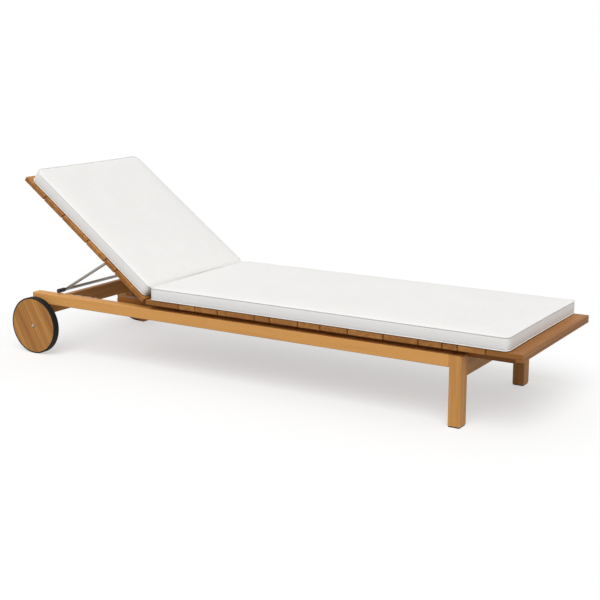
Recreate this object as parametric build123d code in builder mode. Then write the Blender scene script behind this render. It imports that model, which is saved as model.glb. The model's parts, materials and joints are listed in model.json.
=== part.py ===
"""A teak sun lounger on two legs and two wheels, with an adjustable back and two cushions.

The frame is two long side rails on square legs, tied by cross rails. Two bearers stand on
the cross rails and carry the deck of slats, which overhangs the rails on both sides and the
legs at the foot. The back is a panel of slats on two battens, hinged at the end of the seat
and held by a steel prop whose cross bar lies on the side rails. All lengths are in mm.
+X points to the foot end, +Z up, and the origin is on the floor under the middle.
"""

from build123d import *
import os
from math import atan2, cos, radians, sin

os.makedirs("parts", exist_ok=True)

# Driving dimensions of the whole lounger
overall_length = 2096
frame_width = 588
deck_top = 271.5
deck_side_overhang = 8
foot_overhang = 203
seat_length = 1444
back_length = 689
back_angle = 36.5
steepest_back_angle = 65

# Frame timber
leg_depth = 42
leg_width = 48
rail_top = 235
rail_depth = 40
rail_thickness = 42
rail_tail = 25
foot_cross_bottom = 157
foot_cross_thickness = 26
head_cross_bottom = 142
head_cross_top = 200
head_cross_thickness = 24
middle_cross_depth = 52
middle_cross_thickness = 24
middle_cross_setback = 62
wheel_block_bottom = 78
bearer_depth = 30
bearer_thickness = 24
bearer_tail = 181
bearer_foot_inset = 46
bearer_gap = 1
tenon_length = 22
tenon_shoulder = 8
tenon_clearance = 0.2
edge_round = 2
pad_thickness = 3
pad_margin = 2

# Slats, as shares of the deck that they cover, from the foot end and from the hinge
seat_slat_shares = (0.086, 0.065, 0.036, 0.057, 0.086, 0.091, 0.072, 0.060, 0.078, 0.043,
                    0.107, 0.067, 0.051, 0.101)
back_slat_shares = (0.233, 0.087, 0.152, 0.208, 0.154, 0.166)
slat_thickness = 17.5
slat_gap = 4
slat_round = 1.5
foot_batten_depth = 8
foot_batten_width = 22
screw_head_radius = 4.5
screw_head_depth = 2.5
screw_keep_off = 6

# Back panel
batten_depth = 28
batten_thickness = 22
batten_end_margin = 30
batten_screw_share = 0.3

# Hinges between seat and back
hinge_rise = 4
hinge_knuckle_radius = 3.6
hinge_pin_radius = 1.8
hinge_fit = 0.05
hinge_length = 60
hinge_knuckle_length = 20
hinge_knuckle_play = 0.3
hinge_leaf_thickness = 1.5
hinge_leaf_depth = 15
hinge_offset = 160

# Prop
prop_rod_radius = 6
prop_arm_radius = 5.6
prop_pivot_along = 240
prop_pivot_below = 39
prop_bar_reach = 459
prop_fold_ratio = 1.88
prop_eye_radius = 9
prop_eye_width = 12
prop_bolt_radius = 4
prop_fit = 0.05
prop_play = 0.4
prop_bolt_head_radius = 7
prop_bolt_head_depth = 3
bar_notch_side_gap = 2.5
bar_notch_top_gap = 0.4
sleeve_radius = 8.2
sleeve_length = 29
sleeve_wall_gap = 0.1
sleeve_rail_gap = 1
sleeve_arm_gap = 2
sleeve_cap_length = 5
sleeve_end_inset = 31

# Notched plates that take the prop at its steeper settings
notch_plate_thickness = 3
notch_plate_depth = 30
notch_pitch = 47
notch_count = 4
notch_radius = 7.5
notch_plate_end = 20

# Wheels
wheel_radius = 110
wheel_width = 26
wheel_gap = 5
tyre_depth = 5
wheel_edge_round = 1.5
axle_radius = 4
axle_fit = 0.05
bush_wall = 3
axle_head_radius = 5.5
axle_head_depth = 3
washer_radius = 11
washer_play = 0.3
nut_radius = 7.5
nut_depth = 6.5

# Cushions
cushion_thickness = 46
cushion_crown = 8
cushion_draw_in = 4
cushion_corner = 22
cushion_side_inset = 1
seat_cushion_foot_inset = 48
seat_cushion_head_inset = 29
back_cushion_top_inset = 16
back_cushion_hinge_inset = 27
cushion_rest_gap = 0.3
cushion_end_crown = 1
cushion_side_swell = 2

# Places worked out from the driving dimensions
foot_x = overall_length / 2
axle_x = -overall_length / 2 + wheel_radius
axle_z = wheel_radius
leg_x = foot_x - foot_overhang - leg_depth / 2
leg_rear_x = leg_x - leg_depth / 2
rail_head_x = axle_x - rail_tail
half_frame = frame_width / 2
half_deck = half_frame + deck_side_overhang
rail_bottom = rail_top - rail_depth
rail_y = half_frame - rail_thickness / 2
rail_inner_y = half_frame - rail_thickness
leg_y = half_frame - leg_width / 2
leg_inner_y = half_frame - leg_width
slat_bottom = deck_top - slat_thickness
bearer_bottom = slat_bottom - bearer_depth
bearer_y = min(leg_inner_y, rail_inner_y) - bearer_gap - bearer_thickness / 2
bearer_foot_x = foot_x - bearer_foot_inset
seat_head_x = foot_x - seat_length
hinge_x = seat_head_x - slat_gap / 2
hinge_z = deck_top + hinge_rise
bearer_head_x = hinge_x - bearer_tail
middle_cross_x = hinge_x - middle_cross_setback
wheel_inner_y = half_frame + wheel_gap
wheel_outer_y = wheel_inner_y + wheel_width
tilt = radians(back_angle)

# Directions of the raised back: along it to the head, and out of its face
along_back = Vector(-cos(tilt), 0, sin(tilt))
out_of_back = Vector(sin(tilt), 0, cos(tilt))
hinge_point = Vector(hinge_x, 0, hinge_z)


def back_plane(out=0.0, along=0.0):
    """A plane parallel to the raised back, measured from the hinge axis."""
    place = hinge_point + along_back * along + out_of_back * out
    return Plane(origin=place, x_dir=along_back, z_dir=out_of_back)


def finish(piece, name):
    """Label a finished piece and write it to its own file."""
    piece.part.label = name
    export_step(piece.part, f"parts/{name}.step")


def side_name(side):
    """The lounger's right side is at -Y for someone lying on it, its left side at +Y."""
    return "right" if side < 0 else "left"


def board(name, x_range, y_range, z_range, rounding):
    """A plain sawn board between the given limits, with its edges eased."""
    (x_low, x_high), (y_low, y_high), (z_low, z_high) = x_range, y_range, z_range
    with BuildPart() as piece:
        with BuildSketch(Plane.XY.offset(z_low)):
            with Locations(((x_low + x_high) / 2, (y_low + y_high) / 2)):
                Rectangle(x_high - x_low, y_high - y_low)
        extrude(amount=z_high - z_low)
        chamfer(piece.edges(), rounding)
    finish(piece, name)


# Side rails, each with a tenon at the foot that goes into its leg
tenon_thickness = rail_thickness - 2 * tenon_shoulder
tenon_depth = rail_depth - 2 * tenon_shoulder

for side in (-1, 1):
    with BuildPart() as side_rail:
        with BuildSketch(Plane.YZ.offset(rail_head_x)):
            with Locations((side * rail_y, rail_bottom + rail_depth / 2)):
                Rectangle(rail_thickness, rail_depth)
        extrude(amount=leg_rear_x - rail_head_x)
        chamfer(side_rail.edges(), edge_round)
        with BuildSketch(Plane.YZ.offset(leg_rear_x)):
            with Locations((side * rail_y, rail_bottom + rail_depth / 2)):
                Rectangle(tenon_thickness, tenon_depth)
        extrude(amount=tenon_length)
    finish(side_rail, f"side_rail_{side_name(side)}")

# Foot legs, flush with the rails' tops, mortised for the rails and the cross rail
foot_cross_top = bearer_bottom
foot_cross_depth = foot_cross_top - foot_cross_bottom
cross_tenon_depth = foot_cross_depth - 2 * tenon_shoulder
cross_tenon_thickness = foot_cross_thickness - tenon_shoulder

for side in (-1, 1):
    with BuildPart() as foot_leg:
        with BuildSketch(Plane.XY.offset(pad_thickness)):
            with Locations((leg_x, side * leg_y)):
                Rectangle(leg_depth, leg_width)
        extrude(amount=rail_top - pad_thickness)
        chamfer(foot_leg.edges(), edge_round)
        with BuildSketch(Plane.YZ.offset(leg_rear_x)):
            with Locations((side * rail_y, rail_bottom + rail_depth / 2)):
                Rectangle(tenon_thickness + 2 * tenon_clearance, tenon_depth + 2 * tenon_clearance)
        extrude(amount=tenon_length + tenon_clearance, mode=Mode.SUBTRACT)
        with BuildSketch(Plane.XZ.offset(-side * leg_inner_y)):
            with Locations((leg_x, foot_cross_bottom + foot_cross_depth / 2)):
                Rectangle(cross_tenon_thickness + 2 * tenon_clearance,
                          cross_tenon_depth + 2 * tenon_clearance)
        extrude(amount=-side * (tenon_shoulder + tenon_clearance), mode=Mode.SUBTRACT)
    finish(foot_leg, f"foot_leg_{side_name(side)}")

with BuildPart() as foot_pads:
    with BuildSketch(Plane.XY):
        with Locations((leg_x, leg_y), (leg_x, -leg_y)):
            Rectangle(leg_depth - 2 * pad_margin, leg_width - 2 * pad_margin)
    extrude(amount=pad_thickness)
finish(foot_pads, "foot_pads")

# Cross rail between the foot legs, under the bearers
with BuildPart() as foot_cross_rail:
    with BuildSketch(Plane.XZ.offset(-leg_inner_y)):
        with Locations((leg_x, foot_cross_bottom + foot_cross_depth / 2)):
            Rectangle(foot_cross_thickness, foot_cross_depth)
    extrude(amount=2 * leg_inner_y)
    chamfer(foot_cross_rail.edges(), edge_round)
    with BuildSketch(Plane.XZ.offset(-leg_inner_y - tenon_shoulder)):
        with Locations((leg_x, foot_cross_bottom + foot_cross_depth / 2)):
            Rectangle(cross_tenon_thickness, cross_tenon_depth)
    extrude(amount=2 * (leg_inner_y + tenon_shoulder))
finish(foot_cross_rail, "foot_cross_rail")

# Cross rail between the side rails, under the bearers near the hinge
board("middle_cross_rail",
      (middle_cross_x - middle_cross_thickness / 2, middle_cross_x + middle_cross_thickness / 2),
      (-rail_inner_y, rail_inner_y),
      (bearer_bottom - middle_cross_depth, bearer_bottom),
      edge_round)

# Blocks under the rails at the head end, bored for the axle bolts
for side in (-1, 1):
    with BuildPart() as wheel_block:
        with BuildSketch(Plane.XY.offset(wheel_block_bottom)):
            with Locations((axle_x, side * leg_y)):
                Rectangle(leg_depth, leg_width)
        extrude(amount=rail_bottom - wheel_block_bottom)
        chamfer(wheel_block.edges(), edge_round)
        with BuildSketch(Plane.XZ.offset(-side * half_frame)):
            with Locations((axle_x, axle_z)):
                Circle(axle_radius)
        extrude(amount=side * leg_width, mode=Mode.SUBTRACT)
    finish(wheel_block, f"wheel_block_{side_name(side)}")

# Cross rail between the wheel blocks
board("head_cross_rail",
      (axle_x - head_cross_thickness / 2, axle_x + head_cross_thickness / 2),
      (-leg_inner_y, leg_inner_y),
      (head_cross_bottom, head_cross_top),
      edge_round)

# Bearers under the deck, with a rounded end past the hinge
for side in (-1, 1):
    with BuildPart() as bearer:
        with BuildSketch(Plane.XZ.offset(-side * bearer_y - bearer_thickness / 2)):
            with BuildLine():
                end_radius = bearer_depth / 2
                Line((bearer_foot_x, bearer_bottom), (bearer_foot_x, slat_bottom))
                Line((bearer_foot_x, slat_bottom), (bearer_head_x + end_radius, slat_bottom))
                ThreePointArc((bearer_head_x + end_radius, slat_bottom),
                              (bearer_head_x, slat_bottom - end_radius),
                              (bearer_head_x + end_radius, bearer_bottom))
                Line((bearer_head_x + end_radius, bearer_bottom), (bearer_foot_x, bearer_bottom))
            make_face()
        extrude(amount=bearer_thickness)
        chamfer(bearer.faces().sort_by(Axis.Y)[0].edges(), edge_round / 2)
        chamfer(bearer.faces().sort_by(Axis.Y)[-1].edges(), edge_round / 2)
    finish(bearer, f"bearer_{side_name(side)}")

# Seat slats from the foot end to the hinge, in their mixed widths
slat_end_x = foot_x
seat_slat_centres = []
for number, share in enumerate(seat_slat_shares, start=1):
    pitch = share * seat_length
    slat_head_x = slat_end_x - pitch + (slat_gap if number < len(seat_slat_shares) else 0)
    board(f"seat_slat_{number:02d}", (slat_head_x, slat_end_x), (-half_deck, half_deck),
          (slat_bottom, deck_top), slat_round)
    seat_slat_centres.append((slat_head_x + slat_end_x) / 2)
    slat_end_x = slat_head_x - slat_gap

# Batten that thickens the edge of the deck at the foot
board("foot_end_batten", (foot_x - foot_batten_width, foot_x), (-half_deck, half_deck),
      (slat_bottom - foot_batten_depth, slat_bottom), edge_round / 2)

# Screws up through the bearers into the seat slats, as one set
with BuildPart() as seat_screws:
    for centre in seat_slat_centres[1:]:
        if abs(centre - leg_x) > leg_depth / 2 + screw_head_radius + screw_keep_off:
            with BuildSketch(Plane.XY.offset(bearer_bottom - screw_head_depth)):
                with Locations((centre, bearer_y), (centre, -bearer_y)):
                    Circle(screw_head_radius)
            extrude(amount=screw_head_depth)
finish(seat_screws, "seat_screws")

# Back slats on the raised back, from the hinge to the head
face_out = -hinge_rise
under_out = face_out - slat_thickness
slat_start = slat_gap / 2
batten_screw_places = []
for number, share in enumerate(back_slat_shares, start=1):
    pitch = share * back_length
    slat_width = pitch - (slat_gap if number < len(back_slat_shares) else 0)
    with BuildPart() as back_slat:
        with BuildSketch(back_plane(under_out)):
            with Locations((slat_start + slat_width / 2, 0)):
                Rectangle(slat_width, 2 * half_deck)
        extrude(amount=slat_thickness)
        chamfer(back_slat.edges(), slat_round)
    finish(back_slat, f"back_slat_{number:02d}")
    batten_screw_places.append(slat_start + slat_width * batten_screw_share)
    slat_start += slat_width + slat_gap

# The prop's pivot on the battens, and its bar on the side rails
prop_pivot = hinge_point + along_back * prop_pivot_along - out_of_back * prop_pivot_below
prop_bar = Vector(hinge_x - prop_bar_reach, 0, rail_top + sleeve_radius + sleeve_rail_gap)
prop_span = prop_bar - prop_pivot
prop_length = prop_span.length
prop_slope = atan2(-prop_span.Z, -prop_span.X)


def bar_place(angle):
    """Where the bar's centre is when the back is at an angle: its X and its Z."""
    slope = prop_slope + (prop_fold_ratio - 1) * (angle - tilt)
    pivot_x = hinge_x - prop_pivot_along * cos(angle) - prop_pivot_below * sin(angle)
    pivot_z = hinge_z + prop_pivot_along * sin(angle) - prop_pivot_below * cos(angle)
    return pivot_x - prop_length * cos(slope), pivot_z - prop_length * sin(slope)


folded_bar_x, folded_bar_z = bar_place(0)
steep_bar_x, steep_bar_z = bar_place(radians(steepest_back_angle))
print("least room of the sleeves over the rails:",
      round(min(bar_place(radians(angle))[1] for angle in range(steepest_back_angle + 1))
            - rail_top - sleeve_radius, 2))

# The bar's ends, and the arms just inside its sleeves
bar_half = half_frame - sleeve_end_inset - sleeve_cap_length
arm_y = bar_half - sleeve_length - sleeve_arm_gap - prop_eye_width / 2

# Battens under the back slats, just inside the arms: drilled for the prop's pivots, and
# notched to let its bar lie against the slats when the back is flat
batten_y = arm_y - prop_eye_width / 2 - prop_play - batten_thickness / 2
batten_start = slat_gap / 2 + batten_depth
batten_end = slat_gap / 2 + back_length - batten_end_margin
bar_notch_width = 2 * (prop_rod_radius + bar_notch_side_gap)
bar_notch_floor = folded_bar_z - hinge_z + prop_rod_radius + bar_notch_top_gap
for side in (-1, 1):
    with BuildPart() as back_batten:
        with BuildSketch(back_plane(under_out - batten_depth)):
            with Locations(((batten_start + batten_end) / 2, -side * batten_y)):
                Rectangle(batten_end - batten_start, batten_thickness)
        extrude(amount=batten_depth)
        chamfer(back_batten.edges(), edge_round)
        batten_outer = prop_pivot + Vector(0, side * (batten_y + batten_thickness / 2), 0)
        with BuildSketch(Plane(origin=batten_outer, x_dir=along_back, z_dir=Vector(0, -side, 0))):
            Circle(prop_bolt_radius)
        extrude(amount=batten_thickness, mode=Mode.SUBTRACT)
        with BuildSketch(back_plane(under_out - batten_depth)):
            with Locations((hinge_x - folded_bar_x, -side * batten_y)):
                Rectangle(bar_notch_width, batten_thickness)
        extrude(amount=bar_notch_floor - (under_out - batten_depth), mode=Mode.SUBTRACT)
    finish(back_batten, f"back_batten_{side_name(side)}")

# Screw heads on the battens, one under each back slat
with BuildPart() as back_screws:
    for place in batten_screw_places[1:]:
        with BuildSketch(back_plane(under_out - batten_depth - screw_head_depth)):
            with Locations((place, batten_y), (place, -batten_y)):
                Circle(screw_head_radius)
        extrude(amount=screw_head_depth)
finish(back_screws, "back_screws")

# Butt hinges between the end faces of the seat and the back, their knuckles above the deck
knuckle_ends = (-hinge_length / 2, -hinge_knuckle_length / 2, hinge_knuckle_length / 2, hinge_length / 2)
knuckle_room = hinge_knuckle_radius + hinge_knuckle_play
leaf_bottom = deck_top - hinge_leaf_depth
from_base = (Align.CENTER, Align.CENTER, Align.MIN)


def knuckle(y_low, y_high, radius, mode=Mode.ADD):
    """A cylinder on the hinge axis between two places along Y."""
    with Locations(Plane(origin=(hinge_x, y_low, hinge_z), x_dir=(1, 0, 0), z_dir=(0, 1, 0))):
        Cylinder(radius, y_high - y_low, align=from_base, mode=mode)


with BuildPart() as seat_hinge_leaves:
    for centre in (-hinge_offset, hinge_offset):
        with BuildSketch(Plane.XY.offset(leaf_bottom)):
            with Locations((seat_head_x - hinge_leaf_thickness / 2, centre)):
                Rectangle(hinge_leaf_thickness, hinge_length)
        extrude(amount=hinge_z - leaf_bottom)
        knuckle(centre + knuckle_ends[1] - hinge_knuckle_play,
                centre + knuckle_ends[2] + hinge_knuckle_play, knuckle_room, Mode.SUBTRACT)
        knuckle(centre + knuckle_ends[0], centre + knuckle_ends[1] - hinge_knuckle_play,
                hinge_knuckle_radius)
        knuckle(centre + knuckle_ends[2] + hinge_knuckle_play, centre + knuckle_ends[3],
                hinge_knuckle_radius)
        knuckle(centre + knuckle_ends[0], centre + knuckle_ends[3],
                hinge_pin_radius + hinge_fit, Mode.SUBTRACT)
finish(seat_hinge_leaves, "seat_hinge_leaves")

with BuildPart() as back_hinge_leaves:
    for centre in (-hinge_offset, hinge_offset):
        with BuildSketch(back_plane(face_out - hinge_leaf_depth)):
            with Locations((slat_gap / 2 - hinge_leaf_thickness / 2, -centre)):
                Rectangle(hinge_leaf_thickness, hinge_length)
        extrude(amount=hinge_leaf_depth - face_out)
        knuckle(centre + knuckle_ends[0], centre + knuckle_ends[1] + hinge_knuckle_play,
                knuckle_room, Mode.SUBTRACT)
        knuckle(centre + knuckle_ends[2] - hinge_knuckle_play, centre + knuckle_ends[3],
                knuckle_room, Mode.SUBTRACT)
        knuckle(centre + knuckle_ends[1] + hinge_knuckle_play,
                centre + knuckle_ends[2] - hinge_knuckle_play, hinge_knuckle_radius)
        knuckle(centre + knuckle_ends[0], centre + knuckle_ends[3],
                hinge_pin_radius + hinge_fit, Mode.SUBTRACT)
finish(back_hinge_leaves, "back_hinge_leaves")

with BuildPart() as hinge_pins:
    for centre in (-hinge_offset, hinge_offset):
        knuckle(centre + knuckle_ends[0], centre + knuckle_ends[3], hinge_pin_radius)
finish(hinge_pins, "hinge_pins")

# Prop: two arms with an eye at the top, and a bar across them
arm_direction = prop_span.normalized()


def cross_cylinder(centre, y_low, y_high, radius, mode=Mode.ADD):
    """A cylinder along Y about a point of the side view, between two places along Y."""
    with Locations(Plane(origin=(centre.X, y_low, centre.Z), x_dir=(1, 0, 0), z_dir=(0, 1, 0))):
        Cylinder(radius, y_high - y_low, align=from_base, mode=mode)


for side in (-1, 1):
    with BuildPart() as prop_arm:
        centre = side * arm_y
        with BuildSketch(Plane(origin=prop_pivot + Vector(0, centre, 0), z_dir=arm_direction)):
            Circle(prop_arm_radius)
        extrude(amount=prop_length)
        cross_cylinder(prop_pivot, centre - prop_eye_width / 2, centre + prop_eye_width / 2,
                       prop_eye_radius)
        cross_cylinder(prop_pivot, centre - prop_eye_width, centre + prop_eye_width,
                       prop_bolt_radius + prop_fit, Mode.SUBTRACT)
        cross_cylinder(prop_bar, centre - prop_eye_width, centre + prop_eye_width,
                       prop_rod_radius, Mode.SUBTRACT)
    finish(prop_arm, f"prop_arm_{side_name(side)}")

with BuildPart() as prop_cross_bar:
    cross_cylinder(prop_bar, -bar_half, bar_half, prop_rod_radius)
finish(prop_cross_bar, "prop_cross_bar")

with BuildPart() as prop_sleeves:
    for y_low in (-bar_half, bar_half - sleeve_length):
        cross_cylinder(prop_bar, y_low, y_low + sleeve_length, sleeve_radius)
        cross_cylinder(prop_bar, y_low, y_low + sleeve_length,
                       prop_rod_radius + sleeve_wall_gap, Mode.SUBTRACT)
finish(prop_sleeves, "prop_sleeves")

with BuildPart() as prop_end_caps:
    for y_low in (-bar_half - sleeve_cap_length, bar_half):
        cross_cylinder(prop_bar, y_low, y_low + sleeve_cap_length, sleeve_radius)
finish(prop_end_caps, "prop_end_caps")

# Shoulder bolts through the eyes into the battens
bolt_tip = batten_y - batten_thickness / 2
bolt_shoulder = arm_y + prop_eye_width / 2 + prop_play
with BuildPart() as prop_pivot_bolts:
    for side in (-1, 1):
        tip, shoulder = side * bolt_tip, side * bolt_shoulder
        head = side * (bolt_shoulder + prop_bolt_head_depth)
        cross_cylinder(prop_pivot, min(tip, shoulder), max(tip, shoulder), prop_bolt_radius)
        cross_cylinder(prop_pivot, min(head, shoulder), max(head, shoulder), prop_bolt_head_radius)
finish(prop_pivot_bolts, "prop_pivot_bolts")

# Notched plates on the rails' inner faces, a notch for each steeper setting of the back
for side in (-1, 1):
    plate_low_x = steep_bar_x - (notch_count - 1) * notch_pitch - notch_plate_end
    plate_high_x = steep_bar_x + notch_plate_end
    with BuildPart() as notched_plate:
        with BuildSketch(Plane.XZ.offset(-side * (rail_inner_y - notch_plate_thickness))):
            with Locations(((plate_low_x + plate_high_x) / 2, rail_top - notch_plate_depth / 2)):
                Rectangle(plate_high_x - plate_low_x, notch_plate_depth)
            for number in range(notch_count):
                with Locations((steep_bar_x - number * notch_pitch, rail_top)):
                    Circle(notch_radius, mode=Mode.SUBTRACT)
        extrude(amount=-side * notch_plate_thickness)
    finish(notched_plate, f"notched_plate_{side_name(side)}")

# Wheels: a solid disc of teak with a flush tyre and a bush, on a bolt through its block
disc_radius = wheel_radius - tyre_depth
bush_radius = axle_radius + axle_fit + bush_wall
wheel_centre = Vector(axle_x, 0, axle_z)
spacer_depth = wheel_gap - washer_play
for side in (-1, 1):
    inner, outer = side * wheel_inner_y, side * wheel_outer_y
    low_y, high_y = min(inner, outer), max(inner, outer)

    with BuildPart() as wheel_disc:
        cross_cylinder(wheel_centre, low_y, high_y, disc_radius)
        chamfer(wheel_disc.edges().filter_by(GeomType.CIRCLE), wheel_edge_round / 2)
        cross_cylinder(wheel_centre, low_y, high_y, bush_radius, Mode.SUBTRACT)
    finish(wheel_disc, f"wheel_disc_{side_name(side)}")

    with BuildPart() as tyre:
        cross_cylinder(wheel_centre, low_y, high_y, wheel_radius)
        fillet(tyre.edges().filter_by(GeomType.CIRCLE), wheel_edge_round)
        cross_cylinder(wheel_centre, low_y, high_y, disc_radius, Mode.SUBTRACT)
    finish(tyre, f"tyre_{side_name(side)}")

    with BuildPart() as bush:
        cross_cylinder(wheel_centre, low_y, high_y, bush_radius)
        cross_cylinder(wheel_centre, low_y, high_y, axle_radius + axle_fit, Mode.SUBTRACT)
    finish(bush, f"wheel_bush_{side_name(side)}")

    with BuildPart() as axle_bolt:
        stem = sorted((side * (wheel_outer_y + washer_play), side * (leg_inner_y - nut_depth)))
        cap = sorted((side * (wheel_outer_y + washer_play),
                      side * (wheel_outer_y + washer_play + axle_head_depth)))
        cross_cylinder(wheel_centre, *stem, axle_radius)
        cross_cylinder(wheel_centre, *cap, axle_head_radius)
        outer_face = axle_bolt.faces().sort_by(Axis.Y)[0 if side < 0 else -1]
        chamfer(outer_face.edges(), axle_head_depth / 3)
    finish(axle_bolt, f"axle_bolt_{side_name(side)}")

with BuildPart() as axle_washers:
    for side in (-1, 1):
        ends = sorted((side * half_frame, side * (half_frame + spacer_depth)))
        cross_cylinder(wheel_centre, *ends, washer_radius)
        cross_cylinder(wheel_centre, *ends, axle_radius + axle_fit, Mode.SUBTRACT)
finish(axle_washers, "axle_washers")

with BuildPart() as axle_nuts:
    for side in (-1, 1):
        with BuildSketch(Plane.XZ.offset(-side * leg_inner_y)):
            with Locations((axle_x, axle_z)):
                RegularPolygon(nut_radius, 6)
                Circle(axle_radius + axle_fit, mode=Mode.SUBTRACT)
        extrude(amount=side * nut_depth)
finish(axle_nuts, "axle_nuts")

# Cushions: box cushions with rounded corners, a crowned top and sides drawn in at the middle
corner_angle_shares = (0, 0.25, 0.5, 0.75, 1)
middle_station_shares = (0.15, 0.3, 0.5, 0.7, 0.85)


def cushion(name, base, length, width):
    """A loft along the base plane's X through sections with a crowned top and swollen sides."""
    stations = []
    for share in corner_angle_shares:
        turn = radians(90) * share
        stations.append((cushion_corner * (1 - cos(turn)), cushion_corner * (1 - sin(turn))))
    places = [(place, inset) for place, inset in stations]
    places += [(share * length, 0) for share in middle_station_shares]
    places += [(length - place, inset) for place, inset in reversed(stations)]
    with BuildPart() as piece:
        for place, inset in places:
            share = place / length
            draw = cushion_draw_in * 4 * share * (1 - share)
            crown = cushion_end_crown + cushion_crown * (1 - (2 * share - 1) ** 4)
            half = width / 2 - inset - draw
            swell = half + cushion_side_swell
            origin = base.origin + base.x_dir * place
            with BuildSketch(Plane(origin=origin, x_dir=base.y_dir, z_dir=base.x_dir)):
                with BuildLine():
                    Line((-half, 0), (half, 0))
                    ThreePointArc((half, 0), (swell, cushion_thickness / 2), (half, cushion_thickness))
                    ThreePointArc((half, cushion_thickness), (0, cushion_thickness + crown),
                                  (-half, cushion_thickness))
                    ThreePointArc((-half, cushion_thickness), (-swell, cushion_thickness / 2),
                                  (-half, 0))
                make_face()
        loft(ruled=True)
    finish(piece, name)


cushion_width = 2 * (half_deck - cushion_side_inset)
seat_base = Plane(origin=(hinge_x + seat_cushion_head_inset, 0, deck_top + cushion_rest_gap),
                  x_dir=(1, 0, 0), z_dir=(0, 0, 1))
cushion("seat_cushion", seat_base,
        foot_x - seat_cushion_foot_inset - (hinge_x + seat_cushion_head_inset), cushion_width)
cushion("back_cushion", back_plane(face_out + cushion_rest_gap, back_cushion_hinge_inset),
        back_length - back_cushion_top_inset - back_cushion_hinge_inset, cushion_width)
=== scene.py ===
"""The finish of a teak sun lounger: oiled timber, steel, rubber, and two piped canvas cushions."""

import json
from math import cos, radians, sin

import bpy
import numpy as np
from bpy.props import FloatProperty, FloatVectorProperty, IntProperty, PointerProperty
from bpy.types import Operator, Panel, PropertyGroup
from mathutils import Euler, Matrix, Vector


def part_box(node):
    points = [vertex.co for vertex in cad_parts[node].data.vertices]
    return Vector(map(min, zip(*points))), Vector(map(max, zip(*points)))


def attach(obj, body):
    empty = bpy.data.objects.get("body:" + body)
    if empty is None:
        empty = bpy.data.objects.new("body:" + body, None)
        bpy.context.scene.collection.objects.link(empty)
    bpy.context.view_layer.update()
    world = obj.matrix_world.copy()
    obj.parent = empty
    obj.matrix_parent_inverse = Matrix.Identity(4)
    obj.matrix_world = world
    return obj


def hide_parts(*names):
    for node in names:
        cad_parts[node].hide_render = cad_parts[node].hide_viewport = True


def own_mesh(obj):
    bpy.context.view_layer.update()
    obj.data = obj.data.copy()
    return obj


bl_info = {
    "name": "Teak sun lounger",
    "version": (1, 0, 0),
    "blender": (4, 5, 0),
    "location": "3D View > Sidebar > Lounger",
    "description": "Dresses the frame, wheels, prop and cushions of a teak sun lounger",
    "category": "Object",
}

MM = 0.001
TURN = 2 * np.pi

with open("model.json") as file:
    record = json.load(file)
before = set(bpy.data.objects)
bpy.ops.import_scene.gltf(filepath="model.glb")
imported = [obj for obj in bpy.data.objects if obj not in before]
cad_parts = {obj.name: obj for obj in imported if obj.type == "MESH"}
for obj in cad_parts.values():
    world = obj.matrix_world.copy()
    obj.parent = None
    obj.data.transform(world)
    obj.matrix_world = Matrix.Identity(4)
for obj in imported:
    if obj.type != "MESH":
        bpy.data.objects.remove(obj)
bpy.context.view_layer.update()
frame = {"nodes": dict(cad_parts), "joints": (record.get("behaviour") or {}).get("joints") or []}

# Places read from the frame
back_joint = next(joint for joint in frame["joints"] if joint["name"] == "back_hinge")
back_tilt = radians(-back_joint["range_deg"][0])
hinge_point = Vector(back_joint["pos_m"])
along_back = Vector((-cos(back_tilt), 0, sin(back_tilt)))
out_of_back = Vector((sin(back_tilt), 0, cos(back_tilt)))
deck_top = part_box("seat_slat_01")[1].z
seat_low, seat_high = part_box("seat_cushion")
face_out = deck_top - hinge_point.z
back_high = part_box("back_slat_06")[1].z
back_reach = (back_high - hinge_point.z - face_out * cos(back_tilt)) / sin(back_tilt)


class TimberSettings(PropertyGroup):
    """Colours and grain of the teak."""

    light: FloatVectorProperty(
        name="Light teak", description="Colour of the early wood between the growth lines",
        default=(0.715, 0.352, 0.104), subtype="COLOR", min=0, max=1)
    dark: FloatVectorProperty(
        name="Dark teak", description="Colour of the growth lines and the streaks",
        default=(0.290, 0.114, 0.026), subtype="COLOR", min=0, max=1)
    pore: FloatVectorProperty(
        name="Pores", description="Colour inside the open pores",
        default=(0.150, 0.055, 0.016), subtype="COLOR", min=0, max=1)
    ring_pitch: FloatProperty(
        name="Growth line pitch", description="Distance from one growth line to the next",
        default=3.2 * MM, min=0.5 * MM, max=20 * MM, unit="LENGTH")
    board_change: FloatProperty(
        name="Board to board change",
        description="How much lighter or darker one board is than another",
        default=0.16, min=0, max=1)
    roughness: FloatProperty(
        name="Roughness", description="Roughness of the oiled surface",
        default=0.52, min=0, max=1)


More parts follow.
